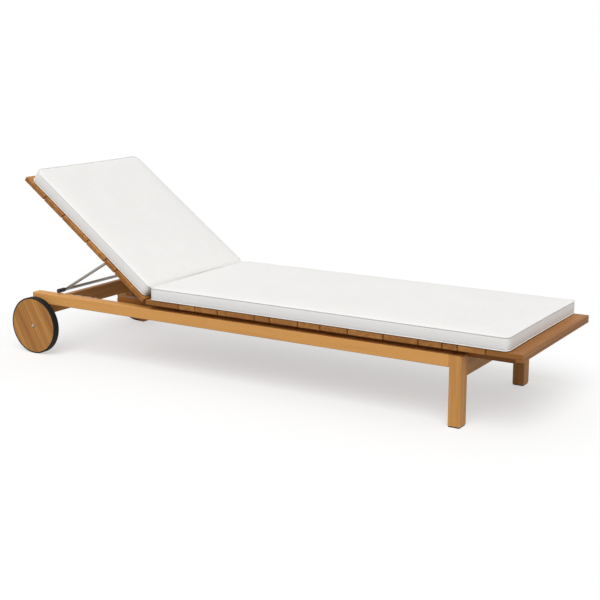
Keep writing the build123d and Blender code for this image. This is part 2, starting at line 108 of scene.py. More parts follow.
class CushionSettings(PropertyGroup):
    """Sizes and colours of the cushions."""

    fabric: FloatVectorProperty(
        name="Canvas", description="Colour of the canvas covers",
        default=(0.840, 0.832, 0.815), subtype="COLOR", min=0, max=1)
    thickness: FloatProperty(
        name="Thickness", description="Height of a cushion before its panels swell",
        default=47 * MM, min=10 * MM, max=200 * MM, unit="LENGTH")
    seat_corners: FloatVectorProperty(
        name="Seat corner radii",
        description="Radii in plan of the seat cushion's corners at the head and the foot",
        default=(24 * MM, 20 * MM), size=2, min=5 * MM, max=100 * MM, unit="LENGTH")
    back_corners: FloatVectorProperty(
        name="Back corner radii",
        description="Radii in plan of the back cushion's corners at the top and the fold",
        default=(30 * MM, 14 * MM), size=2, min=5 * MM, max=100 * MM, unit="LENGTH")
    seat_side_swell: FloatProperty(
        name="Seat side swell",
        description="How far the seat cushion's piping reaches past its CAD solid's sides",
        default=2.5 * MM, min=0, max=20 * MM, unit="LENGTH")
    back_side_inset: FloatProperty(
        name="Back side inset",
        description="From the sides of the seat's CAD solid in to the back cushion's piping",
        default=4 * MM, min=0, max=40 * MM, unit="LENGTH")
    back_shift: FloatProperty(
        name="Back shift",
        description="How far the loose back cushion lies to the left of the middle",
        default=4 * MM, min=-40 * MM, max=40 * MM, unit="LENGTH")
    crown_cap: FloatProperty(
        name="Crown", description="Most that a panel may swell",
        default=8 * MM, min=0, max=40 * MM, unit="LENGTH")
    rim_lift: FloatProperty(
        name="Rim lift", description="How far the lower seam stands above the slats",
        default=3.8 * MM, min=0, max=10 * MM, unit="LENGTH")
    rim_drop: FloatProperty(
        name="Rim drop", description="How far the upper seam lies below the panel beside it",
        default=1.8 * MM, min=0, max=10 * MM, unit="LENGTH")
    rim_reach: FloatProperty(
        name="Rim reach", description="Distance from a seam in which the panel rounds over",
        default=10 * MM, min=1 * MM, max=40 * MM, unit="LENGTH")
    side_cap: FloatProperty(
        name="Side swell", description="Most that the border may swell",
        default=3 * MM, min=0, max=20 * MM, unit="LENGTH")
    draw_in: FloatProperty(
        name="Side draw-in", description="How far the sides pull in between the corners",
        default=2.5 * MM, min=0, max=20 * MM, unit="LENGTH")
    piping: FloatProperty(
        name="Piping radius", description="Radius of the piping in the seams",
        default=1.7 * MM, min=0.5 * MM, max=10 * MM, unit="LENGTH")
    piping_proud: FloatProperty(
        name="Piping stand-out", description="How far the piping's middle stands out of the seam",
        default=0.35 * MM, min=0, max=5 * MM, unit="LENGTH")
    spacing: FloatProperty(
        name="Mesh spacing", description="Distance between the points of the cloth that swells",
        default=11 * MM, min=4 * MM, max=40 * MM, unit="LENGTH")
    pressure: FloatProperty(
        name="Pressure", description="Pressure of the filling on the cover",
        default=4, min=0, max=20)
    frames: IntProperty(
        name="Frames", description="Frames that the cover is left to swell for",
        default=20, min=2, max=60)
    rest_gap: FloatProperty(
        name="Rest gap", description="Distance from the cushion's underside to the slats",
        default=0.6 * MM, min=0, max=5 * MM, unit="LENGTH")
    fold_swell: FloatProperty(
        name="Fold swell",
        description="How far the back cushion's lower end reaches past its CAD solid",
        default=14 * MM, min=0, max=20 * MM, unit="LENGTH")
    head_swell: FloatProperty(
        name="Head swell",
        description="How far the seat cushion's head end reaches past its CAD solid",
        default=9.8 * MM, min=0, max=20 * MM, unit="LENGTH")
    hinge_inset: FloatProperty(
        name="Hinge inset",
        description="From the hinge to the lower end of the back cushion's CAD solid",
        default=27 * MM, min=0, max=100 * MM, unit="LENGTH")
    top_inset: FloatProperty(
        name="Top inset", description="From the top of the back to the end of its cushion",
        default=14 * MM, min=0, max=100 * MM, unit="LENGTH")


class StageSettings(PropertyGroup):
    """Camera, floor and lights."""

    camera_place: FloatVectorProperty(
        name="Camera place", description="Where the camera stands",
        default=(2.2816, -3.5503, 1.2119), subtype="TRANSLATION")
    camera_heading: FloatProperty(
        name="Camera heading", description="Direction of view, from +X towards +Y",
        default=radians(121.862), subtype="ANGLE")
    camera_pitch: FloatProperty(
        name="Camera pitch", description="Angle of the view above the horizon",
        default=radians(-12.726), subtype="ANGLE")
    camera_roll: FloatProperty(
        name="Camera roll", description="Turn of the picture about the view",
        default=radians(-0.097), subtype="ANGLE")
    focal_share: FloatProperty(
        name="Focal length", description="Focal length as a share of the picture's width",
        default=1182.7 / 600, min=0.1, max=10)
    sky: FloatProperty(
        name="Sky", description="Strength of the even light from all round",
        default=0.56, min=0, max=5)
    sun: FloatProperty(
        name="Key light", description="Strength of the soft key light",
        default=1.90, min=0, max=20)
    sun_spread: FloatProperty(
        name="Key light spread", description="Angle that the key light fills",
        default=radians(45), subtype="ANGLE")
    sun_travel: FloatVectorProperty(
        name="Key light direction", description="Way that the key light travels",
        default=(-0.30, 0.72, -1.0), subtype="DIRECTION")
    floor: FloatVectorProperty(
        name="Floor", description="Colour of the floor as the camera sees it",
        default=(1.0, 1.0, 1.0), subtype="COLOR", min=0, max=1)
    floor_bounce: FloatVectorProperty(
        name="Floor bounce", description="Colour of the floor in the light that it throws back",
        default=(0.38, 0.38, 0.38), subtype="COLOR", min=0, max=1)
    floor_glow: FloatProperty(
        name="Floor glow", description="Share of plain white in the floor as the camera sees it",
        default=0.52, min=0, max=1)


class Wave:
    """A shader socket that takes part in sums and products like a number."""

    def __init__(self, shade, socket):
        self.shade, self.socket = shade, socket

    def math(self, operation, *values):
        return self.shade.node("Math", {"operation": operation}, dict(enumerate(values)))

    def __add__(self, other):
        return self.math("ADD", self, other)

    def __sub__(self, other):
        return self.math("SUBTRACT", self, other)

    def __rsub__(self, other):
        return self.math("SUBTRACT", other, self)

    def __mul__(self, other):
        return self.math("MULTIPLY", self, other)

    def __truediv__(self, other):
        return self.math("DIVIDE", self, other)

    def __pow__(self, other):
        return self.math("POWER", self, other)

    def __gt__(self, other):
        return self.math("GREATER_THAN", self, other)

    def __abs__(self):
        return self.math("ABSOLUTE", self)

    __radd__, __rmul__ = __add__, __mul__


class Shade:
    """A material in the making: one Principled shader, and a method that makes any node."""

    def __init__(self, name):
        self.material = bpy.data.materials.new(name)
        self.material.use_nodes = True
        self.tree = self.material.node_tree
        self.shader = self.tree.nodes["Principled BSDF"]

    @classmethod
    def on_tree(cls, tree):
        """The same tool for a tree that is there already, such as the world's."""
        shade = cls.__new__(cls)
        shade.tree = tree
        return shade

    def node(self, kind, settings=None, sockets=None, output=0):
        """Makes a node, sets its settings first, then fills or links its sockets."""
        made = self.tree.nodes.new("ShaderNode" + kind)
        for key, value in (settings or {}).items():
            if key == "stops":
                self.set_stops(made.color_ramp, value)
            else:
                setattr(made, key, value)
        for key, value in (sockets or {}).items():
            self.fill(made.inputs[key], value)
        return Wave(self, made.outputs[output])

    @staticmethod
    def set_stops(ramp, stops):
        """Gives a colour ramp its stops, each a place and a grey level."""
        while len(ramp.elements) < len(stops):
            ramp.elements.new(1)
        for element, (place, grey) in zip(ramp.elements, stops):
            element.position, element.color = place, (grey, grey, grey, 1)

    def fill(self, socket, value):
        """Links a Wave to a socket, or writes a plain value to it."""
        if isinstance(value, Wave):
            self.tree.links.new(value.socket, socket)
        elif hasattr(value, "__len__") and socket.type == "RGBA" and len(value) == 3:
            socket.default_value = (*value, 1)
        else:
            socket.default_value = value

    def finish(self, **sockets):
        """Fills the shader's own sockets, their names written with underscores."""
        for key, value in sockets.items():
            self.fill(self.shader.inputs[key.replace("_", " ")], value)
        return self.material

    def mix(self, factor, first, second):
        """A colour between two colours."""
        return self.node("Mix", {"data_type": "RGBA"}, {0: factor, 6: first, 7: second}, output=2)

    def place(self, centre=(0, 0, 0), turn=(0, 0, 0), output="Object"):
        """Object coordinates, or the faces' normals, seen from a centre along turned axes."""
        spot = self.node("TexCoord", output=output)
        return self.node("Mapping", {"vector_type": "TEXTURE"},
                         {"Vector": spot, "Location": centre, "Rotation": turn})

    def split(self, vector):
        """The three numbers of a vector."""
        made = self.tree.nodes.new("ShaderNodeSeparateXYZ")
        self.tree.links.new(vector.socket, made.inputs[0])
        return [Wave(self, socket) for socket in made.outputs]

    def join(self, x, y, z):
        """A vector from three numbers."""
        return self.node("CombineXYZ", None, {0: x, 1: y, 2: z})

    def noise(self, vector, scale=1.0, detail=2.0, roughness=0.5):
        """Smooth noise between 0 and 1."""
        sockets = {"Vector": vector, "Scale": scale, "Detail": detail, "Roughness": roughness}
        return self.node("TexNoise", {"noise_dimensions": "3D"}, sockets)

    def sine(self, value):
        """The sine of a Wave, between -1 and 1."""
        return value.math("SINE", value)

    def stops(self, value, start, end):
        """Nothing up to a start, one from an end on, and a straight climb between them."""
        return self.node("ValToRGB", {"stops": ((start, 0), (end, 1))}, {"Fac": value})

    def tinted(self, colour, tone):
        """A colour made lighter or darker by a tone that is about one."""
        return self.node("VectorMath", {"operation": "SCALE"}, {0: colour, "Scale": tone})

    def bump(self, height, strength, distance):
        """A normal tilted by a height, of which one is a distance in metres."""
        sockets = {"Strength": strength, "Distance": distance, "Height": height}
        return self.node("Bump", None, sockets)


# Materials

# How often each part of the teak's grain changes in a metre, along the board and across it
WANDER, STREAKS, FIBRES, PORES = (1.6, 7), (2.2, 55), (18, 900), (45, 1300)
# Where the heart of a board's rings lies, in millimetres beside the board and below it
HEART_BESIDE, HEART_BELOW = (-60, 60), (45, 110)
# How far the wander bends the rings, and how far apart two staves' hearts may be
RING_BEND, STAVE_CHANGE = 26 * MM, 40 * MM
# Most that a board's grain is shifted along it, and half the width of a glued seam
GRAIN_SHIFT, SEAM_HALF = 9, 0.35 * MM
# Share of the pores' own colour that shows in them
PORE_COVER = 0.45
# How much darker each makes the wood, and the middle that they are measured from
RING_DARK, STREAK_DARK, FIBRE_DARK, END_DARK = 0.24, 1.10, 0.30, 0.25
STAVE_DARK, SEAM_DARK, MIDDLE_DARK = 0.60, 0.50, 0.50
# Past this share of a direction, a face counts as facing it
FACING = 0.7
# Pitch of the canvas's threads, and how often its slubs change in a metre, along and across
THREAD_PITCH, SLUBS = 1.5 * MM, (14, 260)
# How often the steel's scratches change in a metre, along and across
SCRATCHES = (30, 2500)
# Specular level of the surfaces with little shine
LOW_SHINE = 0.2


def teak(name, centre, turn, seed, stain_and_painted_light=0.0, stave=0.0):
    """Solid teak: growth rings about a heart beside the board, streaks, fibres and pores.

    The grain runs along the turned X axis. The rings are circles about a heart line that
    lies outside the board, bent by slow noise, so faces show long arcs and ends show rings.
    A stain above nothing gives a darker board, one below it a lighter board; on the bearers
    and back slats it is partly painted shade, and on the side rails partly painted light.
    With a stave width, the piece is glued from strips, each with its own heart and tone.
    """
    look = bpy.context.scene.lounger_timber
    chance = np.random.default_rng(seed)
    # The stain is partly painted light or painted shade on some boards
    tone = float(chance.uniform(-1, 1)) * look.board_change - stain_and_painted_light
    beside, below = (float(chance.uniform(*span)) * MM for span in (HEART_BESIDE, HEART_BELOW))
    shade = Shade(name)
    along, across, through = shade.split(shade.place(centre, turn))
    shift = float(chance.uniform(0, GRAIN_SHIFT))
    if stave:
        cell = across.math("FLOOR", across / stave)
        strip = shade.node("TexWhiteNoise", {"noise_dimensions": "1D"}, {"W": cell + shift})
        through = through + strip * STAVE_CHANGE
        along = along + strip * 0.5

    def grain(rates, **settings):
        """Noise drawn out along the board."""
        places = along * rates[0] + shift, across * rates[1], through * rates[1]
        return shade.noise(shade.join(*places), **settings)

    side = across - beside + (grain(WANDER, detail=1.5) - 0.5) * RING_BEND
    depth = through + below
    radius = (side * side + depth * depth) ** 0.5
    rings = shade.sine(radius * (TURN / look.ring_pitch)) * 0.5 + 0.5
    streaks = grain(STREAKS, detail=3, roughness=0.6)
    fibres = grain(FIBRES, detail=2)
    pore = shade.stops(grain(PORES, detail=1), 0.66, 0.76)
    axis = Euler(turn).to_matrix() @ Vector((1, 0, 0))
    normal = shade.node("TexCoord", output="Normal")
    towards = shade.node("VectorMath", {"operation": "DOT_PRODUCT"}, {0: normal, 1: axis}, "Value")
    darkness = rings * RING_DARK + streaks * STREAK_DARK + fibres * FIBRE_DARK
    darkness = darkness - (MIDDLE_DARK + tone) + (abs(towards) > FACING) * END_DARK
    if stave:
        edge = across.math("PINGPONG", across, stave / 2)
        seam = edge.math("LESS_THAN", edge, SEAM_HALF)
        darkness = darkness + (strip - 0.5) * STAVE_DARK + seam * SEAM_DARK
    level = shade.node("Clamp", None, {"Value": darkness})
    wood = shade.mix(level, look.light, look.dark)
    coloured = shade.mix(pore * PORE_COVER, wood, look.pore)
    height = fibres * 0.5 - pore * 0.8 + rings * 0.25
    return shade.finish(
        Base_Color=coloured, Roughness=fibres * 0.16 + (look.roughness - 0.08),
        Specular_IOR_Level=LOW_SHINE, Normal=shade.bump(height, strength=0.35, distance=0.25 * MM))


def canvas(name, turn, painted_highlight_lift=1.0):
    """Plain-woven outdoor canvas: two sets of threads that cross over and under.

    The weave is the product of two waves in the plane that each face lies in, picked by the
    face's own direction, over slow slubs that lighten and darken a few threads together.
    A lift above one makes the canvas lighter, a painted highlight where the piping uses it.
    """
    look = bpy.context.scene.lounger_cushions
    shade = Shade(name)
    spot = shade.place((0, 0, 0), turn)
    x, y, z = shade.split(spot)
    facing = shade.place((0, 0, 0), turn, "Normal")
    side_x, side_y, side_z = (abs(part) > FACING for part in shade.split(facing))
    wave_x, wave_y, wave_z = (shade.sine(part * (TURN / THREAD_PITCH)) for part in (x, y, z))
    weave = wave_x * wave_y * side_z + wave_x * wave_z * side_y + wave_y * wave_z * side_x
    run, cross = SLUBS
    slubs = shade.noise(shade.join(x * run, y * cross, z * cross), detail=2)
    cross_slubs = shade.noise(shade.join(x * cross, y * run, z * cross), detail=2)
    clouds = shade.noise(spot, scale=7, detail=2)
    # A lift above one is a painted highlight
    tone = (slubs + cross_slubs - 1) * 0.07 + (clouds - 0.5) * 0.05 + weave * 0.020 + painted_highlight_lift
    height = weave * 0.5 + (slubs + cross_slubs) * 0.8
    return shade.finish(
        Base_Color=shade.tinted(look.fabric, tone), Roughness=clouds * 0.06 + 0.86,
        Specular_IOR_Level=LOW_SHINE, Sheen_Weight=0.12, Sheen_Roughness=0.6,
        Normal=shade.bump(height, strength=0.25, distance=0.25 * MM))


def steel(name, colour=(0.60, 0.59, 0.57), rough=0.30, turn=(0, 0, 0)):
    """Brushed stainless steel: fine scratches along the turned X axis and faint smears."""
    shade = Shade(name)
    spot = shade.place((0, 0, 0), turn)
    x, y, z = shade.split(spot)
    run, cross = SCRATCHES
    scratches = shade.noise(shade.join(x * run, y * cross, z * cross), detail=2)
    smears = shade.noise(spot, scale=35, detail=3)
    tone = scratches * 0.18 + smears * 0.14 + 0.84
    return shade.finish(
        Base_Color=shade.tinted(colour, tone), Metallic=1.0,
        Roughness=scratches * 0.16 + smears * 0.14 + (rough - 0.15),
        Normal=shade.bump(scratches, strength=0.12, distance=0.05 * MM))


def rubber(name):
    """Black tyre rubber: a fine grain and dusty patches."""
    black, dust = (0.010, 0.010, 0.010), (0.034, 0.030, 0.027)
    shade = Shade(name)
    spot = shade.place()
    grain = shade.noise(spot, scale=2200, detail=1)
    patch = shade.stops(shade.noise(spot, scale=24, detail=4, roughness=0.65), 0.45, 0.75)
    return shade.finish(
        Base_Color=shade.mix(patch * 0.35, black, dust),
        Roughness=grain * 0.12 + patch * 0.12 + 0.58, Specular_IOR_Level=LOW_SHINE,
        Normal=shade.bump(grain, strength=0.2, distance=0.15 * MM))


def moulded(name, rough):
    """Black moulded plastic: a spark-eroded grain and a little handling shine."""
    black, worn = (0.018, 0.018, 0.019), (0.04, 0.04, 0.042)
    shade = Shade(name)
    spot = shade.place()
    grain = shade.noise(spot, scale=1500, detail=2)
    handled = shade.noise(spot, scale=30, detail=2)
    return shade.finish(
        Base_Color=shade.mix(grain * 0.3, black, worn),
        Roughness=grain * 0.15 + handled * 0.1 + (rough - 0.12),
        Normal=shade.bump(grain, strength=0.2, distance=0.1 * MM))


def dress(node, material):
    """Gives a carried-over node one material."""
    mesh = frame["nodes"][node].data
    mesh.materials.clear()
    mesh.materials.append(material)


def middle(node):
    """The centre of a node's box."""
    low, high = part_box(node)
    return (low + high) / 2


# Meshes

# Least length that another is divided by
TINY = 1e-9
# Distance between the points of the piping, and rings of points between a border's seams
PIPING_STEP, BORDER_ROWS = 6 * MM, 5
# How stiff the canvas is when it is pulled and bent, and how much the air slows it
PULL_STIFFNESS, BEND_STIFFNESS, AIR_DAMPING = 12, 0.6, 2
# Puckers: length and height of a wave, how far in from the seam they die away and start
PUCKER_LENGTH, PUCKER_HEIGHT, PUCKER_REACH, PUCKER_START = 31 * MM, 0.7 * MM, 16 * MM, 3 * MM
# Dents: their height, and the distance from a seam at which they are full
DENT_HEIGHT, DENT_CLEARANCE = 0.45 * MM, 60 * MM


def mesh_piece(name, points, faces, material, body):
    """A smooth mesh piece from an array of points and an array of faces, riding on a body."""
    mesh = bpy.data.meshes.new(name)
    mesh.from_pydata(points.tolist(), [], faces.tolist())
    mesh.polygons.foreach_set("use_smooth", np.full(len(mesh.polygons), True))
    mesh.materials.append(material)
    piece = bpy.data.objects.new(name, mesh)
    bpy.context.scene.collection.objects.link(piece)
    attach(piece, body)
    return piece


def read_points(mesh):
    """A mesh's points as an array of rows."""
    points = np.zeros(len(mesh.vertices) * 3, np.float32)
    mesh.vertices.foreach_get("co", points)
    return points.reshape(-1, 3).astype(float)


def write_points(mesh, points):
    """Puts an array of rows back as a mesh's points."""
    mesh.vertices.foreach_set("co", np.ascontiguousarray(points, np.float32).ravel())
    mesh.update()


def lattice(rows, columns, wrap_rows=False, wrap_columns=False, start=0):
    """Quads of a grid of points numbered row by row, joined to its own start where it wraps."""
    row = np.arange(rows if wrap_rows else rows - 1)
    column = np.arange(columns if wrap_columns else columns - 1)
    row, column = (part.ravel() for part in np.meshgrid(row, column, indexing="ij"))
    next_row, next_column = (row + 1) % rows, (column + 1) % columns
    quads = (row * columns + column, next_row * columns + column,
             next_row * columns + next_column, row * columns + next_column)
    return start + np.stack(quads, axis=1)


def tube(path, side, up, radius, segments=10):
    """A closed tube: each point of a closed path plus a circle in its side and up directions."""
    angle = (np.arange(segments) * TURN / segments)[None, :, None]
    ring = np.cos(angle) * side[:, None, :] + np.sin(angle) * up[:, None, :]
    points = (path[:, None, :] + radius * ring).reshape(-1, 3)
    return points, lattice(len(path), segments, wrap_rows=True, wrap_columns=True)


class CushionForm:
    """A box cushion in its own axes: length along X, width along Y, and the panels up Z.

    The underside lies at nothing and the top panel at the cushion's thickness.
    """

    def __init__(self, origin, long_axis, up_axis, length, width, corners, look):
        self.half_length, self.half_width = length / 2, width / 2
        self.thickness, self.corners = look.thickness, corners
        self.draw_in, self.look = look.draw_in, look
        self.axes = np.array([long_axis, up_axis.cross(long_axis), up_axis])
        self.origin = np.array(origin)

    def corner(self, x):
        """The radius of the corners on a point's half: the first at low X, else the second."""
        return np.where(x < 0, *self.corners)

    def arc_centre(self, x, y):
        """The nearest point of the rectangle that the arcs' centres span."""
        corner = self.corner(x)
        return (np.clip(x, corner - self.half_length, self.half_length - corner),
                np.clip(y, corner - self.half_width, self.half_width - corner))

    def depth(self, x, y):
        """Distance in from the outline, by the formula for a rectangle with arcs for corners.

        How far a point lies past the arcs' centres, along each axis, is measured from sides
        that are pulled in. The depth is the radius less the length of that pair where both
        are positive, and less the larger of the two elsewhere.
        """
        corner = self.corner(x)
        pull_x = self.draw_in * (1 - (y / self.half_width) ** 2)
        pull_y = self.draw_in * (1 - (x / self.half_length) ** 2)
        past_x = np.abs(x) - (self.half_length - pull_x - corner)
        past_y = np.abs(y) - (self.half_width - pull_y - corner)
        outside = np.hypot(np.maximum(past_x, 0), np.maximum(past_y, 0))
        return np.maximum(corner - outside - np.minimum(np.maximum(past_x, past_y), 0), 0)

    def outline(self, x, y):
        """Plan of the cushion: a rectangle whose corners are arcs and whose sides pull in.

        In each corner square a point keeps its larger distance from the arc's centre as its
        radius, so the square's rim lands on the arc. Each coordinate then shrinks by the
        draw-in times a parabola that is one at mid-side and nothing at the corners.
        """
        inner_x, inner_y = self.arc_centre(x, y)
        out_x, out_y = x - inner_x, y - inner_y
        reach = np.maximum(np.abs(out_x), np.abs(out_y))
        shrink = reach / np.maximum(np.hypot(out_x, out_y), TINY)
        x, y = inner_x + out_x * shrink, inner_y + out_y * shrink
        share_x, share_y = x / self.half_length, y / self.half_width
        return (x * (1 - self.draw_in / self.half_length * (1 - share_y ** 2)),
                y * (1 - self.draw_in / self.half_width * (1 - share_x ** 2)))

    def placed(self, points):
        """Points from the cushion's own axes to the object's frame."""
        return self.origin + points @ self.axes

    def own(self, points):
        """Points from the object's frame to the cushion's own axes."""
        return (points - self.origin) @ self.axes.T

    def rim(self, spacing):
        """The outline's points in order, evenly spaced round the sides before the corners bend."""
        corners = np.array([(-1, -1), (1, -1), (1, 1), (-1, 1), (-1, -1)], float)
        corners *= (self.half_length, self.half_width)
        runs = []
        for start, end in zip(corners[:-1], corners[1:]):
            count = int(np.hypot(*(end - start)) / spacing)
            share = np.arange(count)[:, None] / count
            runs.append(start + (end - start) * share)
        square = np.concatenate(runs)
        return np.stack(self.outline(square[:, 0], square[:, 1]), axis=1)

    def cover(self):
        """The closed cover: a top panel, a border of rings with a slight belly, and an underside.

        The belly is a parabola over the border's height, half of the side cap at its middle.
        Returns the points, the quads and the numbers of the points on the two seams.
        """
        rows = int(2 * self.half_length / self.look.spacing) + 1
        columns = int(2 * self.half_width / self.look.spacing) + 1
        x, y = np.meshgrid(np.linspace(-self.half_length, self.half_length, rows),
                           np.linspace(-self.half_width, self.half_width, columns), indexing="ij")
        x, y = self.outline(x, y)
        top = np.stack([x, y, np.full_like(x, self.thickness)], axis=-1).reshape(-1, 3)
        under = top * (1, 1, 0)
        number = np.arange(rows * columns).reshape(rows, columns)
        loop = np.concatenate([number[:, 0], number[-1, 1:],
                               number[-2::-1, -1], number[0, -2:0:-1]])
        share = (np.arange(BORDER_ROWS) + 1)[:, None, None] / (BORDER_ROWS + 1)
        rim_x, rim_y = top[loop, 0], top[loop, 1]
        centre_x, centre_y = self.arc_centre(rim_x, rim_y)
        outward = np.stack([rim_x - centre_x, rim_y - centre_y, np.zeros(len(loop))], axis=1)
        outward /= np.linalg.norm(outward, axis=1, keepdims=True)
        belly = 2 * self.look.side_cap * share * (1 - share)
        border = top[loop][None] * (1, 1, 0) + outward * belly
        border = border + (1 - share) * np.array((0, 0, self.thickness))
        points = np.concatenate([top, border.reshape(-1, 3), under])
        first_border = rows * columns
        first_under = first_border + BORDER_ROWS * len(loop)
        rings = np.concatenate([loop, first_border + np.arange(BORDER_ROWS * len(loop)),
                                first_under + loop]).reshape(BORDER_ROWS + 2, len(loop))
        upper, lower = rings[:-1], rings[1:]
        corners = lower, np.roll(lower, -1, 1), np.roll(upper, -1, 1), upper
        border_quads = np.stack(corners, axis=-1)
        faces = np.concatenate([lattice(rows, columns), border_quads.reshape(-1, 4),
                                lattice(rows, columns, start=first_under)[:, ::-1]])
        return points, faces, np.concatenate([rings[0], rings[-1]])


def swell(piece, form, seams):
    """Lets the cover swell under pressure as cloth held at its seams, and caps how far it goes."""
    look = form.look
    start = read_points(piece.data)
    group = piece.vertex_groups.new(name="seams")
    group.add(seams.tolist(), 1.0, "REPLACE")
    cloth = piece.modifiers.new("swell", "CLOTH")
    canvas_feel = cloth.settings
    canvas_feel.vertex_group_mass = group.name
    canvas_feel.use_pressure = True
    canvas_feel.uniform_pressure_force = look.pressure
    canvas_feel.effector_weights.gravity = 0
    canvas_feel.tension_stiffness = canvas_feel.compression_stiffness = PULL_STIFFNESS
    canvas_feel.bending_stiffness = BEND_STIFFNESS
    canvas_feel.air_damping = AIR_DAMPING
    cloth.point_cache.frame_start, cloth.point_cache.frame_end = 1, look.frames
    for number in range(1, look.frames + 1):
        bpy.context.scene.frame_set(number)
    seen = piece.evaluated_get(bpy.context.evaluated_depsgraph_get())
    swollen = read_points(seen.to_mesh())
    seen.to_mesh_clear()
    piece.modifiers.clear()
    piece.vertex_groups.clear()
    bpy.context.scene.frame_set(1)
    start, swollen = form.own(start), form.own(swollen)
    half = form.thickness / 2
    on_border = np.abs(start[:, 2] - half) < half - 0.01 * MM
    cap = np.where(on_border, look.side_cap, look.crown_cap)[:, None]
    moved = swollen - start
    far = np.linalg.norm(moved, axis=1, keepdims=True)
    capped = start + moved * (cap / np.maximum(far, TINY)) * np.tanh(far / cap)
    write_points(piece.data, form.placed(capped))


def refine(piece):
    """Applies one round of subdivision to the piece's mesh."""
    finer = piece.modifiers.new("finer", "SUBSURF")
    finer.levels = finer.render_levels = 1
    seen = piece.evaluated_get(bpy.context.evaluated_depsgraph_get())
    mesh = bpy.data.meshes.new_from_object(seen)
    piece.modifiers.clear()
    piece.data = mesh


def pucker(piece, form):
    """Sewn puckers and soft dents in the cover.

    Beside the upper seam the top panel is pulled into short waves, whose length and height
    change slowly along the seam and which die away within a few centimetres. Broad waves and
    narrower slanting ones, half a millimetre high, make the panel uneven. The underside is
    pressed flat on the slats. It rises to the lower seam, and the top panel comes down to
    the upper one, by a bell curve of the distance from the seam.
    """
    x, y, z = form.own(read_points(piece.data)).T
    edge = form.depth(x, y)
    along = np.where(form.half_length - np.abs(x) < form.half_width - np.abs(y), y, x)
    phase = 2.1 * np.sin(along * 9.0) + 1.3 * np.sin(along * 23.0 + 1.0)
    strength = 0.65 + 0.35 * np.sin(along * 15.0 + 0.6)
    fade = np.exp(-edge / PUCKER_REACH) * (1 - np.exp(-edge / PUCKER_START))
    puckers = np.sin(along * TURN / PUCKER_LENGTH + phase) * strength * fade
    broad = np.sin(x * 11.0 + 2.0 * np.sin(y * 6.0)) * np.sin(y * 13.0 + 1.5 * np.sin(x * 4.0))
    slanting = 0.5 * np.sin(x * 27.0 + y * 19.0 + 1.2)
    dents = (broad + slanting) * np.clip(edge / DENT_CLEARANCE, 0, 1)
    on_top = np.clip((z - form.thickness) / MM + 1, 0, 1)
    z = np.maximum(z + on_top * (puckers * PUCKER_HEIGHT + dents * DENT_HEIGHT), 0)
    low = np.clip(1 - 2 * z / form.thickness, 0, 1)
    high = np.clip(2 * z / form.thickness - 1, 0, 1)
    bell = np.exp(-(edge / form.look.rim_reach) ** 2)
    z = z + (low * form.look.rim_lift - high * form.look.rim_drop) * bell
    write_points(piece.data, form.placed(np.stack([x, y, z], axis=1)))


def cushion(name, node, body, origin, long_axis, up_axis, length, width, corners, turn):
    """A canvas box cushion with piping in both seams, in the place of its plain node."""
    look = bpy.context.scene.lounger_cushions
    form = CushionForm(origin, long_axis, up_axis, length, width, corners, look)
    points, faces, seams = form.cover()
    cover_canvas = canvas(name + "_canvas", turn)
    cover = mesh_piece(name, form.placed(points), faces, cover_canvas, body)
    swell(cover, form, seams)
    refine(cover)
    pucker(cover, form)
    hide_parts(node)
    # The piping's canvas is a little lighter: a painted highlight along the seams
    piping_canvas = canvas(name + "_piping_canvas", turn, painted_highlight_lift=1.03)
    pieces = [cover]
    rim = form.rim(PIPING_STEP)
    up = np.tile((0.0, 0.0, 1.0), (len(rim), 1))
    for level, label in ((form.thickness - look.rim_drop, "upper"), (look.rim_lift, "lower")):
        path = np.column_stack([rim, np.full(len(rim), level)])
        ahead = np.roll(path, -1, 0) - np.roll(path, 1, 0)
        side = np.cross(ahead / np.linalg.norm(ahead, axis=1, keepdims=True), up)
        ring, quads = tube(path + side * look.piping_proud, side, up, look.piping)
        pieces.append(mesh_piece(f"{name}_{label}_piping", form.placed(ring), quads,
                                 piping_canvas, body))
    return pieces


# Operators

# Width of the staves that a wheel's disc is glued from, and for each wheel its side, its
# seed, past those of the boards, and the turn of its staves
STAVE_WIDTH = 68 * MM
WHEELS = (("right", 40, radians(62)), ("left", 41, radians(-23)))
# Directions that a grain or a brushing runs in: along the lounger, up, and across
LEVEL, UPRIGHT, ACROSS = (0, 0, 0), (0, radians(-90), 0), (0, 0, radians(90))
# Roughness of the steel parts that are duller than the rest
SATIN = 0.36


class LoungerOperator(Operator):
    """What all the operators share."""

    bl_options = {"REGISTER", "UNDO"}


class LOUNGER_OT_timber(LoungerOperator):
    """Gives the frame, the deck and the back their teak, each board cut from its own place"""

    bl_idname = "lounger.timber"
    bl_label = "Teak boards"

    def execute(self, context):
        # Grain direction and stain of each kind of board; some stains are painted light or shade
        grain_stain_and_painted_light = {
            # The bearers' heavy stain is painted shade for the dark gap under the slats; the side
            # rails' lighter stain is partly painted light, for the light that they catch
            "side_rail": (LEVEL, -0.28), "bearer": (LEVEL, 0.90),
            "foot_leg": (UPRIGHT, 0.04), "wheel_block": (UPRIGHT, 0.20),
            "seat_slat_01": (ACROSS, 0.62), "seat_slat": (ACROSS, 0.30),
            "foot_end": (ACROSS, 0.50), "foot_cross": (ACROSS, 0.32),
            "middle_cross": (ACROSS, 0.32), "head_cross": (ACROSS, 0.32),
            # The back slats' stain is partly painted shade, darkening their shaded edges
            "back_slat": ((0, back_tilt, radians(90)), 0.36),
            "back_batten": ((0, back_tilt, 0), 0.50)}
        starts = tuple(grain_stain_and_painted_light)
        boards = [node for node in sorted(frame["nodes"]) if node.startswith(starts)]
        for seed, node in enumerate(boards):
            start = next(start for start in starts if node.startswith(start))
            turn, stain_and_painted_light = grain_stain_and_painted_light[start]
            dress(node, teak(node + "_teak", middle(node), turn, seed, stain_and_painted_light))
        return {"FINISHED"}


